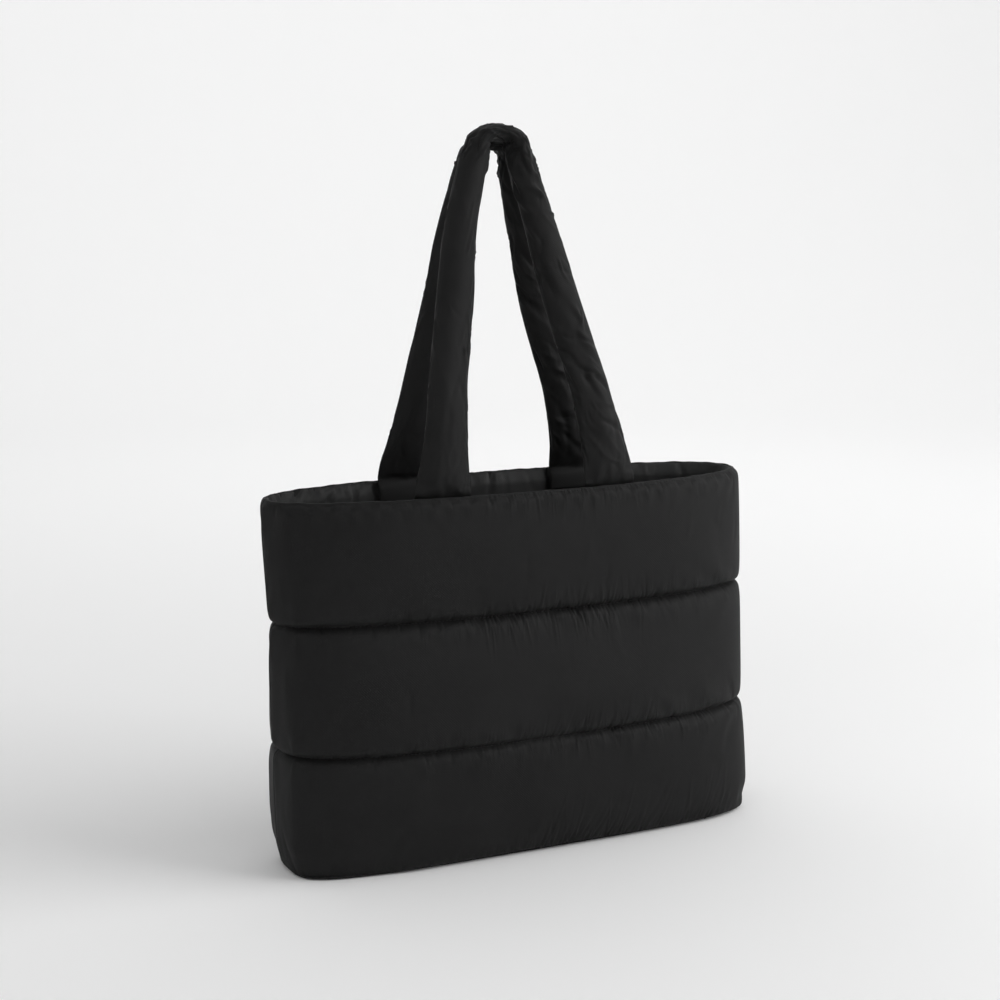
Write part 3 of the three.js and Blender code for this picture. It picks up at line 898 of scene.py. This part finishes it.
def lining_depth(across, height):
    """How far from the bag's middle the lining's inner face lies, at places across and one height."""
    half_width, half_depth, corner, shift = level_at(height)
    share = np.clip(np.abs((across - shift) / half_width), 0, 1)
    up = (height - UPPER_SEAM_HEIGHT) / (RIM_HEIGHT - UPPER_SEAM_HEIGHT)
    wall = SEAM_WALL + INNER_PUFF * fullness(np.clip(up, 0, 1))
    return half_depth * (1 - share ** corner) ** (1 / corner) - wall - CLEARANCE - LINING_ROOM


def handle_line(handle):
    """The places and sizes (width, depth, drape) of a handle's sections, a row each, from its left end."""
    rise = handle["rise"] * HANDLE_RISE
    half_spacing = handle["spacing"] * HANDLE_SPACING / 2
    centre, apex = handle["centre"] * MOUTH_WIDTH, handle["apex"] * MOUTH_WIDTH
    flat_half = HANDLE_FLAT_THICKNESS / 2 + CLEARANCE * 2
    apex_seat = (APEX_DEPTH + APEX_GAP) / 2
    side = handle["side"]
    halves = []
    for hand in (-1, 1):
        x = centre + hand * half_spacing
        rows = []
        for down in HANDLE_SEWN_ROWS:
            height = RIM_HEIGHT - down * HANDLE_SEWN_LENGTH
            rows.append([x, side * (lining_depth(x, height) - flat_half), height,
                         HANDLE_FLAT_WIDTH, HANDLE_FLAT_THICKNESS, 1])
        for row in (dict(zip(LEG_COLUMNS, values)) for values in LEG):
            together = 1 - handle["drawn"] * DRAWN_PEAK * row["rise"] ** 2 * (1 - row["rise"])
            seat = lining_depth(x, RIM_HEIGHT) - flat_half
            rows.append([
                mix(centre, apex, row["lean"]) + hand * row["across"] * together * half_spacing,
                side * mix(seat, apex_seat, row["inward"]), RIM_HEIGHT + row["rise"] * rise,
                mix(APEX_THICKNESS, HANDLE_FLAT_WIDTH, row["width"]),
                row["depth"] * HANDLE_TUBE, row["drape"]])
        halves.append(rows)
    top = [apex, side * apex_seat, RIM_HEIGHT + rise - APEX_THICKNESS / 2, APEX_THICKNESS, APEX_DEPTH, 0]
    return np.array([*halves[0], top, *halves[1][::-1]])


def smooth_through(rows, count):
    """Rows read off at even lengths along a smooth curve through the given ones."""
    ends = np.concatenate([[2 * rows[0] - rows[1]], rows, [2 * rows[-1] - rows[-2]]])
    t = np.linspace(0, 1, CURVE_STEPS, endpoint=False)[:, None]
    dense = np.concatenate([
        0.5 * (2 * b + (c - a) * t + (2 * a - 5 * b + 4 * c - d) * t ** 2 + (3 * b - a - 3 * c + d) * t ** 3)
        for a, b, c, d in zip(ends, ends[1:], ends[2:], ends[3:])] + [rows[-1:]])
    length = np.concatenate([[0], np.cumsum(np.linalg.norm(np.diff(dense[:, :3], axis=0), axis=1))])
    even = np.linspace(0, length[-1], count)
    return np.stack([np.interp(even, length, column) for column in dense.T], 1), even


# Where a handle's folds lie: over which share of its length, at which turns round it (0 is its right edge,
# 0.25 at its back, 0.5 its left edge), how many, how long, deep and wide in millimetres, and how far they
# lean from its length, in radians, with how much spread.
FOLD_COLUMNS = ("start", "end", "from", "to", "count", "length", "depth", "width", "lean", "spread")
HANDLE_FOLDS = [
    (0.02, 0.98, 0, 1, 60, 60, 1.6, 4.5, 0, 0.25),
    (0.02, 0.98, 0, 1, 110, 26, 1.3, 2.2, 0.1, 0.5),
    (0.03, 0.10, 0, 1, 34, 28, 2.0, 2.6, 0, 0.25),
    (0.90, 0.97, 0, 1, 34, 28, 2.0, 2.6, 0, 0.25),
    (0.44, 0.56, 0, 1, 90, 22, 4.6, 2.8, 0.9, 0.7),
    (0.05, 0.45, 0.55, 0.98, 20, 45, 2.4, 3.0, 0.1, 0.2),
    (0.55, 0.94, 0.6, 0.98, 30, 40, 4.2, 4.5, -0.5, 0.22),
    (0.60, 0.95, 0.6, 0.95, 24, 24, 2.8, 2.4, -0.8, 0.3),
]
HANDLE_FOLD_RANGES = {"length": (0.5, 1.4), "width": (0.6, 1.4), "depth": (0.3, 1.1)}
# Folds are shallower where a handle is thin: a share of how thick it is, less a cut, but never under a least.
FOLD_SHARE = {"gain": 1.6, "cut": 0.15, "least": 0.1}


def padded_handle(name, handle):
    """One handle: a lofted tube that is stuffed as cloth, made finer and then creased."""
    rows, lengths = smooth_through(handle_line(handle), HANDLE_SECTIONS)
    place, size = rows[:, :3], rows[:, 3:]
    along = np.gradient(place, axis=0)
    along /= np.linalg.norm(along, axis=1)[:, None]
    outward = np.array([0, 1, 0]) - along * along[:, 1:2]
    outward /= np.linalg.norm(outward, axis=1)[:, None]
    across = np.cross(outward, along)
    angle = np.linspace(0, 2 * math.pi, HANDLE_SIDES, endpoint=False)
    round_x = np.cos(angle)
    round_y = np.sign(np.sin(angle)) * np.abs(np.sin(angle)) ** HANDLE_EDGE
    grid = (place[:, None] + across[:, None] * (round_x[:, None] * size[:, None, :1] / 2)
            + outward[:, None] * (round_y[:, None] * size[:, None, 1:2] / 2))
    for i, (section, middle) in enumerate(zip(grid, place)):
        if size[i, 2] > LEAST_DRAPE:
            bow = lining_depth(section[:, 0], middle[2]) - lining_depth(middle[0], middle[2])
            section[:, 1] += size[i, 2] * handle["side"] * bow
    girth = math.pi * HANDLE_TUBE
    turns = np.linspace(0, 1, HANDLE_SIDES + 1)
    uv = np.stack(np.broadcast_arrays(lengths[:, None], (girth * turns)[None]), 2)
    cap = ring_cap(HANDLE_SIDES // 2)
    piece = loft(name, grid, uv, cap, cap)
    sewn = np.minimum(lengths, lengths[-1] - lengths) < HANDLE_SEWN_LENGTH
    held = np.repeat(sewn.astype(float), HANDLE_SIDES)
    moved = stuff(piece, held, np.zeros(len(held)), **HANDLE_STUFFING)
    moved = moved.reshape(grid.shape)
    broad = evened(moved, HANDLE_EVENING, wrap=True)
    set_points(piece, (grid + HANDLE_FINE_KEPT * (moved - broad)).reshape(-1, 3))
    subdivide(piece)
    chance = np.random.default_rng(handle["seed"])
    folds = []
    for values in HANDLE_FOLDS:
        row = dict(zip(FOLD_COLUMNS, values))
        for _ in range(row["count"]):
            turn = chance.uniform(row["from"], row["to"]) % 1
            fold = {
                "along": chance.uniform(row["start"], row["end"]) * lengths[-1],
                "angle": chance.normal(row["lean"], row["spread"]) + math.pi * chance.integers(2),
                **varied(row, HANDLE_FOLD_RANGES, FOLD_BOW, chance)}
            folds += [{**fold, "up": girth * (turn + whole)} for whole in (-1, 0, 1)]
    places = cloth_places(piece)
    depth = creased(places, folds)
    seam = np.minimum(places[:, 1], girth - places[:, 1])
    depth += HANDLE_SEAM["depth"] * np.exp(-(seam / HANDLE_SEAM["width"]) ** 2)
    thickness = np.interp(places[:, 0], lengths, size[:, 1]) / HANDLE_TUBE
    depth *= np.clip(FOLD_SHARE["gain"] * thickness - FOLD_SHARE["cut"], FOLD_SHARE["least"], 1)
    set_points(piece, points_of(piece) - outward_of(piece) * depth[:, None])
    return piece


for row in HANDLES:
    handle = padded_handle("padded_" + row["node"], row)
    handle.data.materials.append(nylon)
    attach(handle, "root")
    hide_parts(row["node"])
